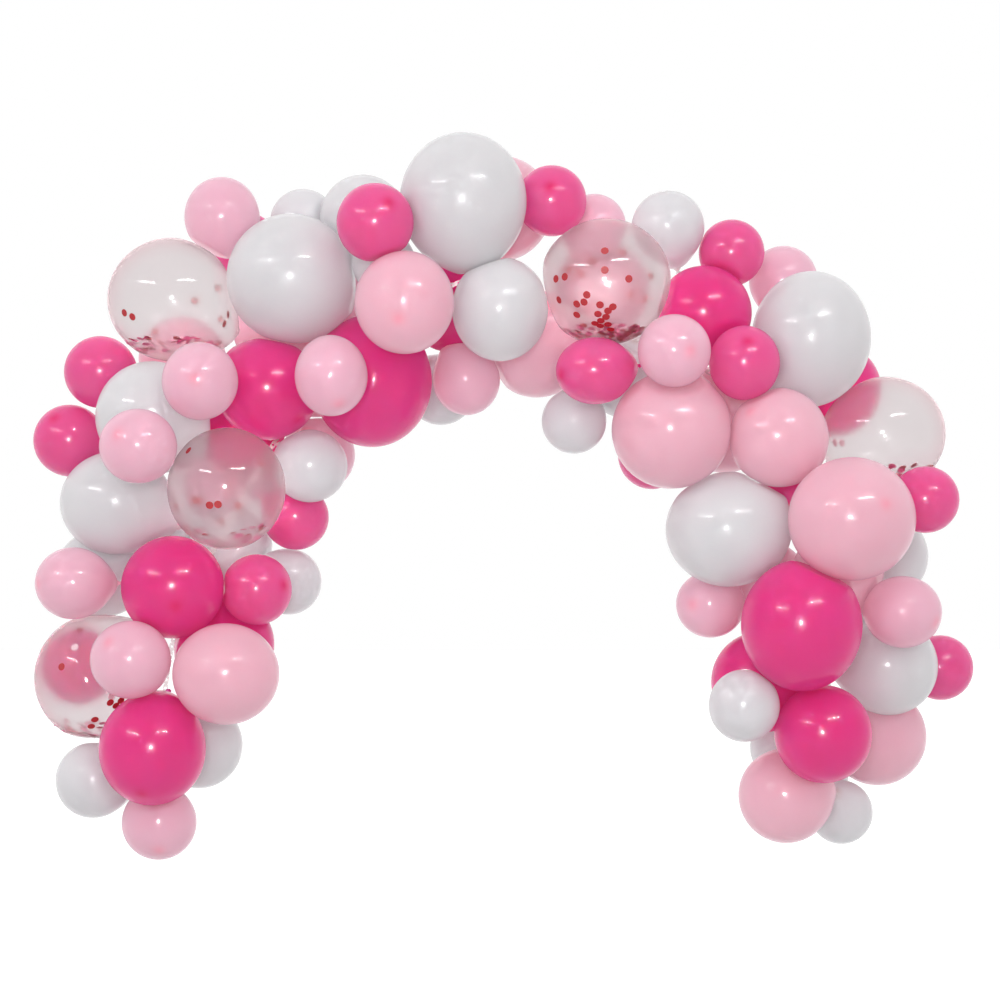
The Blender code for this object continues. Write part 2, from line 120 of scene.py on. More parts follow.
# Each balloon: node, colour, across, height, width, tallness, depth, and the offset of its
# nipple from its middle where the nipple shows. All in centimetres, as the eye sees them.
BALLOONS = [
    ("left_foot_hot_pink", HOT, -86.9, -119.8, 26.6, 28.0, -6, (-2.9, -11.3)),
    ("left_foot_pink", LIGHT, -85.2, -138.1, 18.6, 18.5, -5, (0.0, -7.1)),
    ("left_foot_white_outer", WHITE, -101.7, -127.5, 18.5, 18.8, -2, None),
    ("left_foot_white_inner", WHITE, -75.1, -118.7, 21.4, 21.6, 8, None),
    ("left_knee_clear", CLEAR, -100.7, -101.9, 31.0, 31.6, -2, (-7.0, -13.0)),
    ("left_knee_hot_pink_behind_clear", HOT, -105.0, -99.2, 18.5, 18.5, 20, None),
    ("left_knee_pink_front", LIGHT, -92.4, -97.4, 20.0, 19.5, -18, (-5.6, 4.4)),
    ("left_knee_pink_outer", LIGHT, -106.7, -78.3, 18.9, 18.0, -6, (-9.0, 0.0)),
    ("left_knee_hot_pink_trio", HOT, -81.8, -79.3, 25.7, 25.7, -10, (0.6, -4.8)),
    ("left_knee_pink_inner", LIGHT, -68.5, -101.0, 26.6, 25.3, -8, None),
    ("left_knee_hot_pink_trio", HOT, -60.8, -79.9, 17.5, 17.7, -6, (6.8, 1.1)),
    ("left_knee_hot_pink_trio", HOT, -69.2, -93.6, 25.5, 25.5, 10, None),
    ("left_knee_white_trio", WHITE, -52.9, -77.9, 16.5, 16.5, 4, None),
    ("left_knee_white_trio", WHITE, -67.4, -69.5, 21.0, 21.0, 8, None),
    ("left_knee_white_trio", WHITE, -83.5, -68.0, 18.0, 18.0, 16, None),
    ("left_shoulder_hot_pink_inner", HOT, -51.0, -61.8, 16.4, 16.4, 4, None),
    ("left_shoulder_clear", CLEAR, -68.4, -54.6, 29.5, 30.5, -12, None),
    ("left_shoulder_white_inner", WHITE, -47.5, -49.0, 18.7, 18.2, -2, None),
    ("left_shoulder_pink_trio", LIGHT, -45.4, -46.2, 18.3, 18.5, 10, None),
    ("left_shoulder_pink_trio", LIGHT, -59.0, -50.0, 17.0, 17.0, 20, None),
    ("left_shoulder_pink_trio", LIGHT, -71.0, -54.5, 16.0, 16.0, 14, None),
    ("left_shoulder_pink_front", LIGHT, -90.5, -44.0, 19.3, 18.7, -20, (-5.2, 3.0)),
    ("left_shoulder_white_trio", WHITE, -96.0, -58.2, 27.7, 25.8, -4, None),
    ("left_shoulder_white_trio", WHITE, -87.0, -36.8, 28.0, 28.0, -8, None),
    ("left_shoulder_white_trio", WHITE, -100.0, -75.8, 22.0, 22.0, 8, None),
    ("left_shoulder_hot_pink_outer", HOT, -107.6, -42.6, 17.9, 17.9, 0, (-3.8, 5.8)),
    ("left_shoulder_hot_pink_high", HOT, -99.9, -25.5, 18.0, 18.0, 2, None),
    ("left_top_pink_front", LIGHT, -75.0, -27.8, 19.0, 19.5, -18, (-1.2, 0.8)),
    ("left_top_clear", CLEAR, -81.8, -7.5, 32.4, 31.0, -4, None),
    ("left_top_pink_low", LIGHT, -79.5, -22.2, 21.5, 21.5, 12, None),
    ("left_top_pink_high", LIGHT, -69.5, 13.2, 18.7, 20.0, -2, None),
    ("left_top_hot_pink_high", HOT, -63.8, 6.0, 17.0, 17.0, 12, None),
    ("left_top_white_cluster", WHITE, -52.2, -2.1, 32.2, 32.2, -8, None),
    ("left_top_white_cluster", WHITE, -49.2, 12.0, 16.5, 16.5, 8, None),
    ("left_top_white_cluster", WHITE, -34.2, 13.0, 21.6, 21.6, 4, None),
    ("left_top_white_cluster", WHITE, -29.2, 2.0, 16.0, 16.0, 4, None),
    ("left_top_pink_trio", LIGHT, -56.2, -15.0, 21.0, 21.0, 10, None),
    ("left_top_pink_trio", LIGHT, -39.4, -8.8, 18.0, 18.0, 10, None),
    ("left_top_pink_trio", LIGHT, -46.0, -28.0, 18.0, 18.0, 20, None),
    ("left_top_hot_pink_trio", HOT, -58.0, -29.8, 25.5, 25.5, -8, (7.5, -7.5)),
    ("left_top_hot_pink_trio", HOT, -65.0, -38.8, 22.5, 22.5, 8, None),
    ("left_top_hot_pink_trio", HOT, -32.0, -27.8, 30.0, 33.0, 0, None),
    ("left_top_pink_small", LIGHT, -42.2, -26.5, 18.2, 20.1, -16, (2.0, -7.0)),
    ("crown_hot_pink_left", HOT, -31.2, 11.9, 19.3, 19.7, -10, (3.4, 5.1)),
    ("crown_white", WHITE, -9.2, 17.3, 31.7, 34.1, -8, None),
    ("crown_pink_back", LIGHT, 0.0, 15.5, 26.0, 26.0, 14, None),
    ("crown_hot_pink_right", HOT, 12.9, 17.3, 17.5, 17.7, 0, (-0.4, 3.5)),
    ("crown_pink_front", LIGHT, -23.9, -8.1, 24.9, 25.8, -14, (-1.6, -4.2)),
    ("crown_white_low", WHITE, 0.0, -9.8, 24.0, 26.0, -12, None),
    ("crown_hot_pink_low", HOT, -12.5, -9.5, 22.0, 22.0, 8, None),
    ("crown_white_inner", WHITE, -14.8, -30.0, 17.5, 17.5, 10, None),
    ("crown_pink_quartet", LIGHT, -8.4, -27.5, 16.8, 17.6, 4, None),
    ("crown_pink_quartet", LIGHT, 9.2, -19.0, 25.8, 25.8, 6, None),
    ("crown_pink_quartet", LIGHT, 23.5, 11.0, 16.0, 16.0, 8, None),
    ("crown_pink_quartet", LIGHT, 25.5, -5.0, 23.0, 23.0, 14, None),
    ("right_top_clear", CLEAR, 26.4, -2.9, 32.8, 31.5, -6, None),
    ("right_top_white", WHITE, 42.0, 10.8, 18.2, 18.0, -5, (-1.9, 8.6)),
    ("right_top_hot_pink_front", HOT, 23.7, -25.2, 19.5, 16.8, -8, (-8.5, -1.0)),
    ("right_top_white_pair", WHITE, 18.5, -37.8, 16.2, 16.2, 2, None),
    ("right_top_white_pair", WHITE, 30.5, -26.0, 21.5, 21.5, 6, None),
    ("right_top_hot_pink_trio", HOT, 51.0, -10.8, 23.8, 23.8, -2, None),
    ("right_top_hot_pink_trio", HOT, 57.9, 4.4, 16.4, 16.4, 4, None),
    ("right_top_hot_pink_trio", HOT, 61.1, -23.2, 17.8, 18.6, -12, (0.9, 5.3)),
    ("right_top_pink", LIGHT, 70.8, -2.5, 17.0, 17.0, 6, None),
    ("right_shoulder_white", WHITE, 77.8, -17.0, 29.6, 33.4, -8, None),
    ("right_shoulder_pink_quartet", LIGHT, 42.8, -40.0, 29.8, 29.4, -6, None),
    ("right_shoulder_pink_quartet", LIGHT, 43.6, -20.2, 18.3, 18.3, -14, (4.0, 0.0)),
    ("right_shoulder_pink_quartet", LIGHT, 56.0, -37.2, 27.0, 27.0, 8, None),
    ("right_shoulder_pink_quartet", LIGHT, 69.6, -41.8, 24.8, 24.8, -8, (-7.0, 6.5)),
    ("right_shoulder_hot_pink_low", HOT, 38.0, -46.3, 17.0, 17.0, 10, None),
    ("right_shoulder_clear", CLEAR, 96.0, -41.0, 30.4, 28.6, 2, None),
    ("right_shoulder_hot_pink_back", HOT, 83.5, -30.0, 23.5, 23.5, 14, None),
    ("right_knee_pink_cluster", LIGHT, 88.0, -62.2, 31.7, 30.9, -12, (8.5, 3.8)),
    ("right_knee_hot_pink_outer", HOT, 106.4, -57.4, 16.7, 16.7, 0, None),
    ("right_knee_white_inner", WHITE, 57.1, -64.9, 31.4, 28.6, -4, None),
    ("right_knee_hot_pink_back", HOT, 73.8, -57.5, 20.0, 20.0, 5, None),
    ("right_knee_pink_cluster", LIGHT, 66.2, -77.5, 20.0, 20.0, 8, None),
    ("right_knee_pink_cluster", LIGHT, 52.6, -83.6, 17.2, 16.6, 6, (-4.5, 0.0)),
    ("right_knee_white_trio", WHITE, 96.2, -71.5, 21.5, 21.5, 14, None),
    ("right_knee_white_trio", WHITE, 92.0, -85.5, 21.0, 21.0, 16, None),
    ("right_knee_hot_pink_trio", HOT, 75.4, -88.8, 30.2, 33.0, -8, None),
    ("right_knee_hot_pink_trio", HOT, 65.4, -103.0, 25.2, 25.2, 6, None),
    ("right_knee_hot_pink_trio", HOT, 80.8, -116.0, 24.3, 24.5, -8, None),
    ("right_knee_pink_cluster", LIGHT, 100.8, -85.5, 19.2, 18.0, -6, (8.3, -2.6)),
    ("right_knee_pink_cluster", LIGHT, 84.5, -76.0, 23.0, 23.0, 6, None),
    ("right_knee_white_trio", WHITE, 97.1, -99.0, 24.5, 24.5, 0, None),
    ("right_foot_hot_pink_outer", HOT, 110.1, -99.4, 16.2, 16.2, 6, None),
    ("right_foot_pink_back", LIGHT, 94.2, -116.5, 24.5, 24.5, 8, None),
    ("right_foot_white_front", WHITE, 61.0, -108.9, 17.6, 18.1, -12, None),
    ("right_foot_white_trio", WHITE, 70.2, -119.5, 15.4, 15.4, 10, None),
    ("right_foot_white_trio", WHITE, 78.0, -126.2, 18.0, 18.0, 12, None),
    ("right_foot_pink", LIGHT, 71.4, -131.4, 23.5, 23.5, 0, None),
    ("right_foot_white_trio", WHITE, 85.2, -135.5, 15.8, 15.8, 8, None),
]


class Balloon:
    """One balloon: where the eye sees it, and where it lies once the cluster has settled."""

    def __init__(self, node, colour, across, height, width, tallness, depth, nipple):
        self.node = node
        self.colour = colour
        self.seen = Vector((across, 0.0, height)) * CM
        self.seen_half_width = width / 2 * CM
        self.seen_half_height = tallness / 2 * CM
        self.layer = depth
        self.depth = depth * CM
        self.seen_nipple = nipple
        self.place()

    def place(self):
        """Lies on its line of sight: further back it is larger and further out than it looks."""
        scale = 1 + self.depth / EYE_DISTANCE
        self.centre = Vector((
            self.seen.x * scale,
            self.depth,
            EYE_HEIGHT + (self.seen.z - EYE_HEIGHT) * scale,
        ))
        self.half_width = self.seen_half_width * scale
        self.half_height = self.seen_half_height * scale
        self.half_depth = (self.half_width + self.half_height) / 2
        self.radius = self.half_depth

    def reach(self, directions):
        """Distance from the middle to the skin of the plain egg shape along unit directions."""
        return 1 / np.sqrt(
            (directions[..., 0] / self.half_width) ** 2
            + (directions[..., 1] / self.half_depth) ** 2
            + (directions[..., 2] / self.half_height) ** 2
        )


def by_node(balloons):
    """The balloons of each node, in the order of the table."""
    nodes = {}
    for balloon in balloons:
        nodes.setdefault(balloon.node, []).append(balloon)
    return nodes


def elevation_gap(one, other):
    """Distance between two middles as seen from the front."""
    return math.hypot(one.centre.x - other.centre.x, one.centre.z - other.centre.z)


def linked_pairs(balloons):
    """Within a node each balloon is linked to the nearest one that is linked already."""
    links = set()
    for members in by_node(balloons).values():
        linked, loose = members[:1], members[1:]
        while loose:
            mate, balloon = min(
                ((one, other) for one in linked for other in loose),
                key=lambda pair: elevation_gap(*pair) / (pair[0].radius + pair[1].radius),
            )
            links.add(frozenset((mate, balloon)))
            linked.append(balloon)
            loose.remove(balloon)
    return links


def settle(balloons):
    """Presses the balloons on each other in depth alone, so that the elevation stays as drawn."""
    links = linked_pairs(balloons)
    for _ in range(SETTLE_ROUNDS):
        for index, one in enumerate(balloons):
            for other in balloons[index + 1:]:
                linked = frozenset((one, other)) in links
                apart = (PRESSED_IN_NODE if linked else PRESSED) * (one.radius + other.radius)
                across = elevation_gap(one, other)
                if across >= apart and not linked:
                    continue
                needed = math.sqrt(max(apart * apart - across * across, 0.0))
                front, back = (one, other) if one.layer < other.layer else (other, one)
                short = needed - (back.depth - front.depth)
                if short > 0 or linked:
                    front.depth -= short * (LINK_PULL if linked else PUSH)
                    back.depth += short * (LINK_PULL if linked else PUSH)
        for balloon in balloons:
            balloon.depth += (balloon.layer * CM - balloon.depth) * SPRING_BACK
            balloon.place()


def smooth_route():
    """Points along a Catmull-Rom curve through the strip's route, and the crown's place among them."""
    points = [Vector(point) * CM for point in STRIP_ROUTE]
    ends = [2 * points[0] - points[1]] + points + [2 * points[-1] - points[-2]]
    route = []
    for before, start, end, after in zip(ends, ends[1:], ends[2:], ends[3:]):
        for step in range(STRIP_STEPS):
            t = step / STRIP_STEPS
            route.append(0.5 * (
                2 * start
                + (end - before) * t
                + (2 * before - 5 * start + 4 * end - after) * t * t
                + (3 * start - before - 3 * end + after) * t ** 3
            ))
    route.append(points[-1])
    return route, CROWN * STRIP_STEPS


def thread_strip(balloons):
    """The strip's course: it slips between the balloons, and stays put at the crown."""
    route, crown = smooth_route()
    for _ in range(THREAD_ROUNDS):
        for index, point in enumerate(route):
            if index == crown:
                continue
            for balloon in balloons:
                away = point - balloon.centre
                short = balloon.radius + STRIP_ROOM - away.length
                if short > 0:
                    point += away.normalized() * short / 2
        eased = [
            before / 4 + point / 2 + after / 4
            for before, point, after in zip(route, route[1:], route[2:])
        ]
        pinned = route[crown].copy()
        route[1:-1] = eased
        route[crown] = pinned
    return route


FRONT, BACK = -1, 1

# A line of sight that just misses a balloon still meets it: least square of half a chord, in radii
GRAZING = 0.02


def seen_direction(balloon, across, up, wall):
    """From the middle to where a line of sight meets the near or far wall of a balloon."""
    size = Vector((balloon.half_width, balloon.half_depth, balloon.half_height))
    eye = Vector((0.0, -EYE_DISTANCE, EYE_HEIGHT))
    sight = balloon.seen + Vector((across, 0.0, up)) * CM - eye
    start = Vector(a / b for a, b in zip(eye - balloon.centre, size))
    step = Vector(a / b for a, b in zip(sight, size))
    halfway = -start.dot(step) / step.length_squared
    half_chord = math.sqrt(max(1 - (start + step * halfway).length_squared, GRAZING)) / step.length
    meets = start + step * (halfway + wall * half_chord)
    return Vector(a * b for a, b in zip(meets, size)).normalized()


def neck_direction(balloon, route):
    """Towards the neck: away from the nipple where it shows, otherwise towards the strip."""
    if balloon.seen_nipple is None:
        nearest = min(route, key=lambda point: (point - balloon.centre).length)
        return (nearest - balloon.centre).normalized()
    return -seen_direction(balloon, *balloon.seen_nipple, FRONT)


def nearest_on_segment(point, start, end):
    """The point of a straight run that lies nearest to a given point."""
    run = end - start
    share = (point - start).dot(run) / run.length_squared
    return start + run * min(max(share, 0.0), 1.0)


def dividing_planes(balloon, balloons, route):
    """Planes that the balloon stays behind, each as a unit normal and its distance from the middle."""
    planes = []
    for other in balloons:
        if other is balloon:
            continue
        towards = other.centre - balloon.centre
        gap = towards.length
        if gap > BALLOON_NEARBY * (balloon.radius + other.radius):
            continue
        towards = np.array(towards.normalized())
        own = balloon.reach(towards)
        overlap = own + other.reach(-towards) - gap
        share = 0.5
        if overlap > 0:
            share = YIELD if balloon.depth > other.depth else 1 - YIELD
        planes.append((towards, own - overlap * share - HALF_GAP))
    for start, end in zip(route, route[1:]):
        towards = nearest_on_segment(balloon.centre, start, end) - balloon.centre
        gap = towards.length
        if gap < STRIP_NEARBY * balloon.radius:
            planes.append((np.array(towards / gap), gap - STRIP_ROOM))
    return planes


def press(directions, distances, planes, rounding):
    """Distances to the skin, cut back to the planes and bent softly into each flat."""
    for normal, limit in planes:
        lean = directions @ normal
        bound = np.where(lean > LEAST_LEAN, limit / np.maximum(lean, LEAST_LEAN), UNBOUNDED)
        near = np.clip(1 - np.abs(bound - distances) / rounding, 0, None)
        distances = np.minimum(bound, distances) - near * near * rounding / 4
    return distances


# Outline of the neck beyond the body, as shares of the balloon's radius: how far out, how wide
NECK_OUTLINE = [
    (0.02, 0.084), (0.045, 0.064), (0.075, 0.048), (0.11, 0.037), (0.145, 0.034),
    (0.165, 0.044), (0.18, 0.056), (0.2, 0.060), (0.222, 0.054), (0.236, 0.036),
    (0.26, 0.034), (0.29, 0.044), (0.32, 0.056), (0.345, 0.066),
    (0.36, 0.073), (0.372, 0.076), (0.376, 0.069), (0.366, 0.064), (0.34, 0.052), (0.30, 0.03),
]

# The body ends and the neck starts at this angle off the neck's line, in radians, and the neck is
# this share of the body's width there
NECK_START = 0.084
NECK_FIT = 0.93

# Pleats of the neck: how many, how deep for its width, and how far they twist in one radius
PLEATS = 9
PLEAT_DEPTH = 0.09
PLEAT_TWIST = 30

# The nipple: how wide its deep colour spreads, how far it stands out, how deep its colour is, and
# the rings round it, in centimetres from its point
NIPPLE_SPREAD = 0.016
NIPPLE_HEIGHT = 0.0005
NIPPLE_TONE = {HOT: 0.75, LIGHT: 0.5, WHITE: 0.3, CLEAR: 0.0}
NIPPLE_RINGS = [0.25, 0.5, 0.8, 1.15, 1.6, 2.2]

# The rubber deepens in colour from here to the neck, as the cosine of the angle off the neck's line
THROAT_START = 0.955

# How many sides a skin has, by the radius that the balloon stays under
SKIN_SIDES = [(0.11, 64), (0.14, 80), (1.0, 104)]


def neck_rings(neck, spokes, turns, start, start_width, size):
    """Points of the neck, the knot and the rolled lip, ring by ring from where the body ends."""
    rings = []
    for out, width in NECK_OUTLINE:
        pleat = 1 + PLEAT_DEPTH * np.sin(turns * PLEATS + out * PLEAT_TWIST)
        half_width = width / NECK_OUTLINE[0][1] * start_width * NECK_FIT * pleat
        rings.append((start + out * size) * neck + half_width[:, None] * spokes)
    return np.array(rings)


def skin_faces(rings, sides):
    """Faces between the rings of a skin, and fans to the nipple's point and the end of the neck."""
    faces = []
    for ring in range(rings - 1):
        for turn in range(sides):
            beside = (turn + 1) % sides
            faces.append((
                ring * sides + turn, ring * sides + beside,
                (ring + 1) * sides + beside, (ring + 1) * sides + turn,
            ))
    last_ring, nipple_point, neck_end = (rings - 1) * sides, rings * sides, rings * sides + 1
    for turn in range(sides):
        beside = (turn + 1) % sides
        faces.append((nipple_point, beside, turn))
        faces.append((neck_end, last_ring + turn, last_ring + beside))
    return faces


def rubber_thickness(balloon, from_nipple, sides):
    """How deep the rubber's colour is at each point: most at the nipple, the throat and the neck."""
    tone = 0.0 if balloon.seen_nipple is None else NIPPLE_TONE[balloon.colour]
    nipple = np.exp(-(from_nipple * balloon.radius / NIPPLE_SPREAD) ** 2) * tone
    throat = np.clip((-np.cos(from_nipple) - THROAT_START) / (1 - THROAT_START), 0, 1) ** 2
    rings = np.concatenate([np.maximum(nipple, throat), np.ones(len(NECK_OUTLINE))])
    return np.concatenate([np.repeat(rings, sides), [tone, 1.0]])


def balloon_skin(balloon, balloons, route):
    """Points, faces and rubber thickness of one skin: nipple, body, neck, knot and rolled lip."""
    size = balloon.radius
    sides = next(count for limit, count in SKIN_SIDES if size < limit)
    neck = neck_direction(balloon, route)
    first = neck.orthogonal().normalized()
    neck, first, second = (np.array(axis) for axis in (neck, first, neck.cross(first)))
    turns = np.linspace(0, 2 * math.pi, sides, endpoint=False)
    spokes = np.outer(np.cos(turns), first) + np.outer(np.sin(turns), second)

    nipple_angles = np.array(NIPPLE_RINGS) * CM / size
    body_angles = np.linspace(nipple_angles[-1], math.pi - NECK_START, sides // 2)[1:]
    from_nipple = np.concatenate([nipple_angles, body_angles])
    facing = -np.cos(from_nipple)
    directions = facing[:, None, None] * neck + np.sin(from_nipple)[:, None, None] * spokes
    ahead = np.clip(facing, 0, None)[:, None]
    drawn_out = (1 + NECK_REACH * ahead ** NECK_REACH_POWER
                 + NECK_SHOULDER * ahead ** NECK_SHOULDER_POWER)
    bump = NIPPLE_HEIGHT * np.exp(-(from_nipple * size / (NIPPLE_SPREAD / 2)) ** 2)[:, None]
    distances = balloon.reach(directions) * drawn_out + bump

    body_end = float(distances[-1].mean())
    neck_start, start_width = body_end * math.cos(NECK_START), body_end * math.sin(NECK_START)
    neck_points = neck_rings(neck, spokes, turns, neck_start, start_width, size)
    neck_distances = np.linalg.norm(neck_points, axis=2)
    directions = np.concatenate([directions, neck_points / neck_distances[:, :, None]])
    distances = np.concatenate([distances, neck_distances])

    rounding = CLEAR_ROUNDING if balloon.colour == CLEAR else PRESS_ROUNDING
    planes = dividing_planes(balloon, balloons, route)
    distances = press(directions, distances, planes, rounding)
    middle = np.array(balloon.centre)
    points = middle + directions * distances[:, :, None]
    nipple_reach = float(press(-neck, balloon.reach(-neck) + NIPPLE_HEIGHT, planes, rounding))
    nipple_point = middle - neck * nipple_reach
    neck_end = points[-1].mean(axis=0)
    flat = np.concatenate([points.reshape(-1, 3), [nipple_point], [neck_end]])
    return flat, skin_faces(len(points), sides), rubber_thickness(balloon, from_nipple, sides)


def shader_material(name, colour, roughness):
    """A material with one Principled shader, its node tree and the shader."""
    material = bpy.data.materials.new(name)
    material.use_nodes = True
    tree = material.node_tree
    shader = tree.nodes["Principled BSDF"]
    shader.inputs["Base Color"].default_value = (*colour, 1.0)
    shader.inputs["Roughness"].default_value = roughness
    return material, tree, shader


def noise(tree, scale):
    """Noise in the model's own coordinates, in waves per metre."""
    place = tree.nodes.new("ShaderNodeTexCoord")
    waves = tree.nodes.new("ShaderNodeTexNoise")
    waves.inputs["Scale"].default_value = scale
    tree.links.new(place.outputs["Object"], waves.inputs["Vector"])
    return waves.outputs["Fac"]


def ramp(tree, factor, stops):
    """Colours along a factor, from the two (place, colour) stops."""
    band = tree.nodes.new("ShaderNodeValToRGB")
    for element, (place, colour) in zip(band.color_ramp.elements, stops):
        element.position = place
        element.color = (*colour, 1.0)
    tree.links.new(factor, band.inputs["Fac"])
    return band.outputs["Color"]


# Places of the colours among the sockets of a mix node
FIRST_COLOUR, SECOND_COLOUR, MIXED_COLOUR = 6, 7, 2


def tint(tree, factor, base, colour):
    """A colour output that turns from a base output to a plain colour, by a factor output."""
    mix = tree.nodes.new("ShaderNodeMix")
    mix.data_type = "RGBA"
    tree.links.new(factor, mix.inputs["Factor"])
    tree.links.new(base, mix.inputs[FIRST_COLOUR])
    mix.inputs[SECOND_COLOUR].default_value = (*colour, 1.0)
    return mix.outputs[MIXED_COLOUR]


def add_bump(tree, shader, height, strength, distance):
    """Fine relief on a shader from a height output."""
    bump = tree.nodes.new("ShaderNodeBump")
    bump.inputs["Strength"].default_value = strength
    bump.inputs["Distance"].default_value = distance
    tree.links.new(height, bump.inputs["Height"])
    tree.links.new(bump.outputs["Normal"], shader.inputs["Normal"])


def point_value(tree, name):
    """A value that each point of the mesh carries."""
    attribute = tree.nodes.new("ShaderNodeAttribute")
    attribute.attribute_name = name
    return attribute.outputs["Fac"]


# Tones of the opaque rubbers: in thin patches, as usual, on small balloons, and deep at the nipple
# and neck. The last is how far red, green and blue light scatter in it.
LATEX_TONES = {
    HOT: {"thin": (0.62, 0.044, 0.22), "usual": (0.60, 0.034, 0.19), "small": (0.62, 0.095, 0.26),
          "deep": (0.56, 0.010, 0.10), "scatter": (1.0, 0.3, 0.5)},
    LIGHT: {"thin": (0.68, 0.39, 0.465), "usual": (0.66, 0.37, 0.445), "small": (0.65, 0.38, 0.47),
            "deep": (0.76, 0.22, 0.30), "scatter": (1.0, 0.8, 0.8)},
    WHITE: {"thin": (0.56, 0.55, 0.565), "usual": (0.55, 0.54, 0.555), "small": (0.55, 0.54, 0.56),
            "deep": (0.49, 0.40, 0.40), "scatter": (1.0, 0.9, 0.9)},
}


def latex(name, thin, usual, small, deep, scatter):
    """Stretched rubber: its own tone on small balloons, deeper at the nipple and the neck, and a
    painted glow in its usual tone.
    """
    material, tree, shader = shader_material(name, usual, 0.24)
    cloud = ramp(tree, noise(tree, 5.0), [(0.3, thin), (0.7, usual)])
    toned = tint(tree, point_value(tree, "small"), cloud, small)
    colour = tint(tree, point_value(tree, "thick"), toned, deep)
    tree.links.new(colour, shader.inputs["Base Color"])
    shader.inputs["Subsurface Weight"].default_value = 1.0
    shader.inputs["Subsurface Radius"].default_value = scatter
    shader.inputs["Subsurface Scale"].default_value = 0.12
    shader.inputs["Specular IOR Level"].default_value = 0.12
    shader.inputs["Coat Weight"].default_value = 0.2
    shader.inputs["Coat Roughness"].default_value = 0.05
    shader.inputs["Coat IOR"].default_value = 1.45
    # Painted glow: the rubber gives off a fifth of its usual tone as light. This stands in for light
    # that enters the balloon elsewhere and shines out through the skin, and it lifts the shade in
    # grooves and at edges.
    shader.inputs["Emission Color"].default_value = (*usual, 1.0)
    shader.inputs["Emission Strength"].default_value = 0.2
    add_bump(tree, shader, noise(tree, 60.0), 0.08, 0.001)
    return material


def clear_latex():
    """Milky clear rubber, deeper where it is seen edge on: what lies further behind looks softer."""
    through, edge_on = (0.67, 0.618, 0.626), (0.64, 0.48, 0.505)
    material, tree, shader = shader_material("clear_latex", through, 0.8)
    turned = tree.nodes.new("ShaderNodeLayerWeight")
    depth = ramp(tree, turned.outputs["Facing"], [(0.3, through), (0.8, edge_on)])
    tree.links.new(depth, shader.inputs["Base Color"])
    shader.inputs["Alpha"].default_value = 0.8
    shader.inputs["Transmission Weight"].default_value = 0.86
    shader.inputs["IOR"].default_value = 1.06
    shader.inputs["Coat Weight"].default_value = 0.45
    shader.inputs["Coat Roughness"].default_value = 0.08
    add_bump(tree, shader, noise(tree, 60.0), 0.08, 0.001)
    return material


# How dark the fibres of confetti paper are for its colour
FIBRE_SHADE = 0.86


def paper(name, colour):
    """Confetti paper, with a slight mottle of its fibres."""
    material, tree, shader = shader_material(name, colour, 0.6)
    darker = tuple(value * FIBRE_SHADE for value in colour)
    mottle = ramp(tree, noise(tree, 900.0), [(0.35, darker), (0.65, colour)])
    tree.links.new(mottle, shader.inputs["Base Color"])
    add_bump(tree, shader, noise(tree, 1500.0), 0.2, 0.0003)
    return material


def strip_plastic():
    """Clear plastic of the strip, with drawing marks from its making."""
    material, tree, shader = shader_material("strip_plastic", (0.80, 0.79, 0.74), 0.18)
    shader.inputs["Alpha"].default_value = 0.5
    shader.inputs["Coat Weight"].default_value = 0.6
    add_bump(tree, shader, noise(tree, 300.0), 0.15, 0.0005)
    return material


def add_piece(name, points, faces, materials, replaced=(), marks=None):
    """Puts a mesh in the scene as a smooth piece of the arch. Marks number each face's material."""
    mesh = bpy.data.meshes.new(name)
    mesh.from_pydata([tuple(point) for point in points], [], faces)
    for material in materials:
        mesh.materials.append(material)
    if marks is not None:
        mesh.polygons.foreach_set("material_index", marks)
    mesh.shade_smooth()
    piece = bpy.data.objects.new(name, mesh)
    bpy.context.scene.collection.objects.link(piece)
    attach(piece, "root")
    if replaced:
        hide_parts(*replaced)
    return piece


# A balloon of the small radius has the tone of small ones in full, one of the large radius not at all
SMALL_RADIUS = 0.098
LARGE_RADIUS = 0.112


def dress_balloons(balloons, route, materials):
    """One piece for each node, holding the skins of its balloons."""
    for node, members in by_node(balloons).items():
        points, faces, thickness, smallness = [], [], [], []
        for balloon in members:
            skin, corners, thick = balloon_skin(balloon, balloons, route)
            start = len(points)
            points.extend(skin)
            faces.extend([tuple(corner + start for corner in face) for face in corners])
            thickness.extend(thick)
            share = (LARGE_RADIUS - balloon.radius) / (LARGE_RADIUS - SMALL_RADIUS)
            smallness.extend([min(max(share, 0.0), 1.0)] * len(skin))
        colour = members[0].colour
        piece = add_piece(f"{node}_skin", points, faces, [materials[colour]], (node,))
        for label, values in (("thick", thickness), ("small", smallness)):
            attribute = piece.data.attributes.new(label, "FLOAT", "POINT")
            attribute.data.foreach_set("value", values)
        piece.visible_shadow = colour != CLEAR


RED, ROSE, PALE = 0, 1, 2

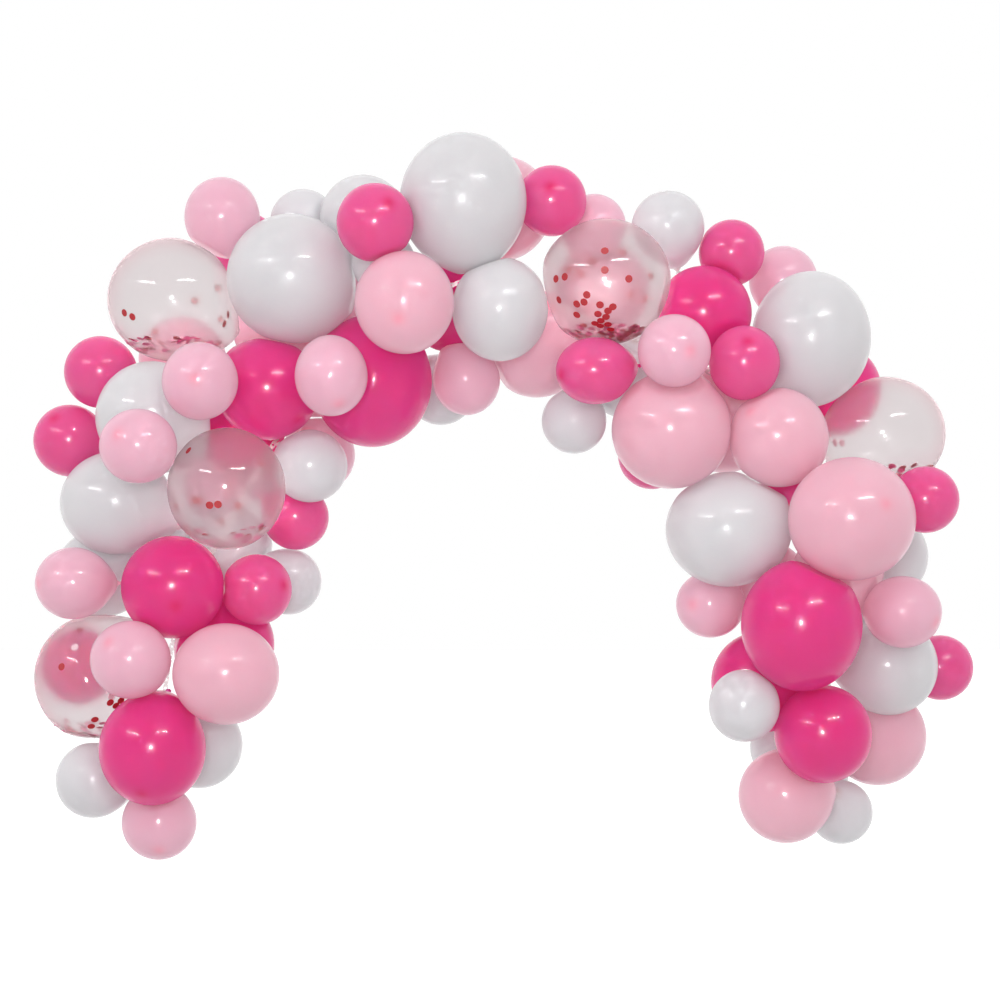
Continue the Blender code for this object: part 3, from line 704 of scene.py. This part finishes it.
# Confetti that shows one by one: balloon, colour, which wall it clings to, and offsets from the
# balloon's middle, across and up, in centimetres
CONFETTI = [
    ("right_top_clear", RED, FRONT, [
        (-0.2, 7.7), (5.8, 0.7), (-10.2, 1.2), (-12.4, 0.7), (-4.7, -3.3), (-5.4, -5.1),
        (-7.2, -5.6), (-11.7, -4.6), (-1.4, -5.8), (1.8, -6.3), (0.6, -7.3), (-1.9, -8.1),
        (0.1, -8.8), (-7.2, -8.3), (-1.2, -9.8), (-2.7, -10.6), (0.6, -10.8), (-1.4, -11.3),
        (1.3, -12.3), (-0.2, 2.9),
    ]),
    ("right_top_clear", RED, BACK, [
        (-3.4, 5.2), (4.3, 7.2), (6.1, -3.3), (11.3, 1.4), (9.8, -4.3), (-9.2, 2.7), (-6.4, 1.9),
    ]),
    ("left_shoulder_clear", RED, FRONT, [(-4.2, -4.2), (-2.1, -4.0), (-9.6, 9.6)]),
    ("left_shoulder_clear", RED, BACK, [
        (-1.4, -8.1), (-7.9, -2.9), (-6.6, -3.1), (2.9, -4.2), (9.0, 6.1), (-7.6, -11.0),
        (-12.5, -4.6),
    ]),
    ("left_top_clear", RED, FRONT, [(-12.1, -3.2), (-10.1, -4.2), (14.4, -3.8), (12.9, -6.0)]),
    ("left_top_clear", RED, BACK, [(5.4, -0.2), (-4.4, -8.0), (11.1, 3.0), (11.9, -4.8)]),
    ("left_knee_clear", RED, FRONT, [
        (-8.9, 2.7), (-0.6, -10.7), (-1.5, -12.3), (3.4, -6.5), (5.0, -7.5), (6.3, -6.1),
    ]),
    ("left_knee_clear", RED, BACK, [(-4.5, 12.0)]),
    ("left_knee_clear", PALE, FRONT, [(-5.6, 7.6), (3.7, -4.9)]),
    ("right_shoulder_clear", PALE, FRONT, [(-12.2, -2.2), (-10.5, -2.2)]),
]

# Loose confetti that has slid down inside: how many, and how wide it lies, in degrees off plumb
CONFETTI_HEAPS = {
    "right_top_clear": (170, 42),
    "left_shoulder_clear": (40, 52),
    "left_top_clear": (100, 50),
    "left_knee_clear": (80, 44),
    "right_shoulder_clear": (110, 56),
}

# A heap: how far its dots lie off the skin by chance and at its middle, how far they tilt, and the
# shares of red, rose and pale ones
HEAP_SCATTER = 0.004
HEAP_DEPTH = 0.004
HEAP_TILT = 0.35
HEAP_SHARES = (0.3, 0.55, 0.15)

# The middle of a dot lies this far inside the skin. On the near wall it is drawn a hair outside the
# skin instead, because the milky rubber would veil it.
CONFETTI_RADIUS = 0.0095
CONFETTI_SIDES = 14
CONFETTI_INSET = 0.0012
CONFETTI_CLING = -0.0003

# Step to the side, as a share of a unit direction, that shows how a skin faces
SIDE_STEP = 0.02


def confetti_disc(centre, facing):
    """Middle and corners of a paper dot with its face along a unit direction."""
    side = facing.orthogonal().normalized()
    other = facing.cross(side)
    corners = [centre]
    for step in range(CONFETTI_SIDES):
        turn = 2 * math.pi * step / CONFETTI_SIDES
        corners.append(centre + (side * math.cos(turn) + other * math.sin(turn)) * CONFETTI_RADIUS)
    return corners


def wall_spot(balloon, planes, direction, inset):
    """A point inset from a balloon's skin along a unit direction, and how the skin faces there."""
    side = direction.orthogonal().normalized() * SIDE_STEP
    spots = []
    for aim in (direction, direction + side, direction + direction.cross(side)):
        towards = np.array(aim.normalized())
        distance = float(press(towards, balloon.reach(towards), planes, CLEAR_ROUNDING))
        spots.append(balloon.centre + aim.normalized() * distance)
    facing = (spots[1] - spots[0]).cross(spots[2] - spots[0]).normalized()
    return spots[0] - facing * inset, facing


def fill_with_confetti(balloon, balloons, route, papers):
    """Dots on the walls where they show, and a loose heap at the bottom."""
    chance = random.Random(balloon.node)
    planes = dividing_planes(balloon, balloons, route)
    dots = []
    for node, colour, wall, offsets in CONFETTI:
        if node != balloon.node:
            continue
        for across, up in offsets:
            direction = seen_direction(balloon, across, up, wall)
            inset = CONFETTI_CLING if wall == FRONT else CONFETTI_INSET
            dots.append((*wall_spot(balloon, planes, direction, inset), colour))
    count, spread = CONFETTI_HEAPS[balloon.node]
    for _ in range(count):
        tilt = math.radians(spread) * math.sqrt(chance.random())
        turn = chance.uniform(0, 2 * math.pi)
        direction = Vector((
            math.sin(tilt) * math.cos(turn), math.sin(tilt) * math.sin(turn), -math.cos(tilt),
        ))
        inset = CONFETTI_INSET + HEAP_SCATTER * chance.random() ** 2 + HEAP_DEPTH * (1 - tilt)
        spot, facing = wall_spot(balloon, planes, direction, inset)
        lie = Vector((chance.gauss(0, HEAP_TILT), chance.gauss(0, HEAP_TILT), -1)) + facing
        colour = chance.choices((RED, ROSE, PALE), HEAP_SHARES)[0]
        dots.append((spot, lie.normalized(), colour))
    points, faces, marks = [], [], []
    for centre, facing, colour in dots:
        start = len(points)
        points.extend(confetti_disc(centre, facing))
        for step in range(CONFETTI_SIDES):
            faces.append((start, start + 1 + step, start + 1 + (step + 1) % CONFETTI_SIDES))
            marks.append(colour)
    add_piece(f"{balloon.node}_confetti", points, faces, papers, marks=marks)


# The row of holes along the strip
HOLE_PITCH = 0.021
HOLE_RADIUS = 0.0032
HOLE_SIDES = 16


def strip_course(route):
    """Evenly spaced points along the strip: every other one is the middle of a hole."""
    lengths = [0.0]
    for start, end in zip(route, route[1:]):
        lengths.append(lengths[-1] + (end - start).length)
    count = round(lengths[-1] / (HOLE_PITCH / 2)) // 2 * 2
    xs, ys, zs = ([point[axis] for point in route] for axis in range(3))
    at = np.linspace(0, lengths[-1], count + 1)
    return np.stack([np.interp(at, lengths, values) for values in (xs, ys, zs)], axis=1)


def make_strip(route, material):
    """The clear strip as a thin ribbon with a hole in each of its cells."""
    course = strip_course(route)
    along = np.gradient(course, axis=0)
    along /= np.linalg.norm(along, axis=1)[:, None]
    sides = np.cross(along, (0.0, 1.0, 0.0))
    sides /= np.linalg.norm(sides, axis=1)[:, None]
    points, faces = [], []
    for middle in range(1, len(course) - 1, 2):
        start = len(points)
        rim = []
        for step in range(HOLE_SIDES):
            turn = 2 * math.pi * (step + 0.5) / HOLE_SIDES
            rim.append((math.cos(turn), math.sin(turn)))
        for forward, sideways in rim:
            reach = 1 / max(abs(forward), abs(sideways))
            end = course[middle + 1] if forward > 0 else course[middle - 1]
            share = abs(forward) * reach
            edge = course[middle] * (1 - share) + end * share
            points.append(edge + sides[middle] * sideways * reach * STRIP_WIDTH / 2)
        for forward, sideways in rim:
            points.append(course[middle] + along[middle] * forward * HOLE_RADIUS
                          + sides[middle] * sideways * HOLE_RADIUS)
        for step in range(HOLE_SIDES):
            beside = (step + 1) % HOLE_SIDES
            faces.append((start + step, start + beside,
                          start + HOLE_SIDES + beside, start + HOLE_SIDES + step))
    add_piece("strip_ribbon", points, faces, [material], ("balloon_strip",))


def area_light(name, place, aim, width, height, power):
    """A rectangular lamp at a place, facing a point."""
    lamp = bpy.data.lights.new(name, "AREA")
    lamp.shape = "RECTANGLE"
    lamp.size = width
    lamp.size_y = height
    lamp.energy = power
    holder = bpy.data.objects.new(name, lamp)
    holder.location = place
    holder.rotation_euler = (Vector(aim) - Vector(place)).to_track_quat("-Z", "Y").to_euler()
    bpy.context.scene.collection.objects.link(holder)
    return holder


def add_glint(name, place, aim, width, height, power):
    """A lamp that only shows as a reflection in the gloss of the rubber."""
    lamp = area_light(name, place, aim, width, height, power)
    lamp.visible_diffuse = False
    lamp.visible_transmission = False


# The studio's brightness along an axis: where it is dimmest, where it is full, and the dimmest value
STUDIO_SHADES = [("Y", -0.9, 0.6, 0.5), ("Z", -0.7, -0.1, 0.75)]


def make_world():
    """A white studio, dimmer on the side in front of the arch and below it."""
    world = bpy.data.worlds.new("studio")
    bpy.context.scene.world = world
    world.use_nodes = True
    tree = world.node_tree
    direction = tree.nodes.new("ShaderNodeTexCoord")
    parts = tree.nodes.new("ShaderNodeSeparateXYZ")
    tree.links.new(direction.outputs["Generated"], parts.inputs["Vector"])
    strength = tree.nodes.new("ShaderNodeMath")
    strength.operation = "MULTIPLY"
    for number, (axis, dim_end, bright_end, dimmest) in enumerate(STUDIO_SHADES):
        shade = tree.nodes.new("ShaderNodeMapRange")
        for socket, value in (("From Min", dim_end), ("From Max", bright_end), ("To Min", dimmest)):
            shade.inputs[socket].default_value = value
        tree.links.new(parts.outputs[axis], shade.inputs["Value"])
        tree.links.new(shade.outputs["Result"], strength.inputs[number])
    tree.links.new(strength.outputs["Value"], tree.nodes["Background"].inputs["Strength"])
    tree.nodes["Background"].inputs["Color"].default_value = (1.0, 1.0, 1.0, 1.0)


# The floor: how far below the arch it lies, and half its width
FLOOR_DROP = 2.0
FLOOR_HALF = 40.0


def make_floor(height):
    """A pale floor well below the arch, which throws no light back on matt surfaces."""
    mesh = bpy.data.meshes.new("floor")
    corners = [(-1, -1), (1, -1), (1, 1), (-1, 1)]
    mesh.from_pydata([(x * FLOOR_HALF, y * FLOOR_HALF, height) for x, y in corners], [], [(0, 1, 2, 3)])
    floor = bpy.data.objects.new("floor", mesh)
    bpy.context.scene.collection.objects.link(floor)
    material, _, shader = shader_material("floor_paint", (0.95, 0.95, 0.95), 0.8)
    shader.inputs["Emission Color"].default_value = (1.0, 1.0, 1.0, 1.0)
    shader.inputs["Emission Strength"].default_value = 0.25
    mesh.materials.append(material)
    floor.visible_diffuse = False


def make_daylight():
    """Soft daylight from the front and above."""
    daylight = bpy.data.lights.new("daylight", "SUN")
    daylight.energy = 0.85
    daylight.angle = math.radians(80)
    holder = bpy.data.objects.new("daylight", daylight)
    holder.rotation_euler = (math.radians(60), 0.0, math.radians(-8))
    holder.visible_glossy = False
    bpy.context.scene.collection.objects.link(holder)


# The flash beside the camera: where it is from the camera's place, where it points, how wide it is,
# and its power as a lamp and as a glint
FLASH_OFFSET = (-0.25, -0.3, 0.4)
FLASH_AIM = (0.0, 0.0, -0.3)
FLASH_SIZE = 0.5
FLASH_POWER = 19
FLASH_GLINT_POWER = 450

# Ceiling tubes: name, degrees to the right of the camera and up, as seen from the arch, and power
TUBES = [("tube_right", 28, 37, 520), ("tube_left", -46, 28, 340)]
TUBE_DISTANCE = 9.0
TUBE_LENGTH = 4.2
TUBE_WIDTH = 0.3


def make_flash_and_tubes():
    """A flash at the camera, and ceiling tubes that only show as streaks in the gloss."""
    middle = Vector((0.0, 0.0, EYE_HEIGHT))
    place = Vector((0.0, -EYE_DISTANCE, EYE_HEIGHT)) + Vector(FLASH_OFFSET)
    flash = area_light("flash", place, FLASH_AIM, FLASH_SIZE, FLASH_SIZE, FLASH_POWER)
    flash.data.spread = math.radians(70)
    flash.visible_glossy = False
    flash.visible_transmission = False
    add_glint("flash_glint", place, middle, FLASH_SIZE, FLASH_SIZE, FLASH_GLINT_POWER)
    for name, azimuth, elevation, power in TUBES:
        turn, rise = math.radians(azimuth), math.radians(elevation)
        level = math.cos(rise)
        towards = Vector((math.sin(turn) * level, -math.cos(turn) * level, math.sin(rise)))
        add_glint(name, middle + towards * TUBE_DISTANCE, middle, TUBE_LENGTH, TUBE_WIDTH, power)


# Width of what the camera sees at the arch, in metres
VIEW_WIDTH = 2.5


def make_camera():
    """The photographer's place, straight in front of the arch."""
    camera = bpy.data.cameras.new("camera")
    camera.sensor_width = 36.0
    camera.lens = camera.sensor_width * EYE_DISTANCE / VIEW_WIDTH
    holder = bpy.data.objects.new("camera", camera)
    holder.location = (0.0, -EYE_DISTANCE, EYE_HEIGHT)
    holder.rotation_euler = (math.radians(90), 0.0, 0.0)
    bpy.context.scene.collection.objects.link(holder)
    bpy.context.scene.camera = holder


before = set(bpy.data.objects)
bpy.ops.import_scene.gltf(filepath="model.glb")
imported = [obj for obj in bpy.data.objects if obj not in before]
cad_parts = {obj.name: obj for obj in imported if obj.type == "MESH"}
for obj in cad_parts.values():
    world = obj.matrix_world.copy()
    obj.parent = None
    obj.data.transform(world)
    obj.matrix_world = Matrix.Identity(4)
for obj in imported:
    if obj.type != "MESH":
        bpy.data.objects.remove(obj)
cad_box = [list(corner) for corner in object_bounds()]
make_camera()
bpy.context.scene.view_settings.view_transform = "Standard"

balloons = [Balloon(*row) for row in BALLOONS]
settle(balloons)
route = thread_strip(balloons)
materials = {colour: latex(f"{colour}_latex", **tones) for colour, tones in LATEX_TONES.items()}
materials[CLEAR] = clear_latex()
dress_balloons(balloons, route, materials)
papers = [
    paper("red_paper", (0.46, 0.008, 0.016)),
    paper("rose_paper", (0.72, 0.06, 0.24)),
    paper("pale_paper", (0.86, 0.62, 0.66)),
]
for balloon in balloons:
    if balloon.colour == CLEAR:
        fill_with_confetti(balloon, balloons, route, papers)
make_strip(route, strip_plastic())
make_floor(cad_box[0][2] - FLOOR_DROP)
make_world()
make_daylight()
make_flash_and_tubes()
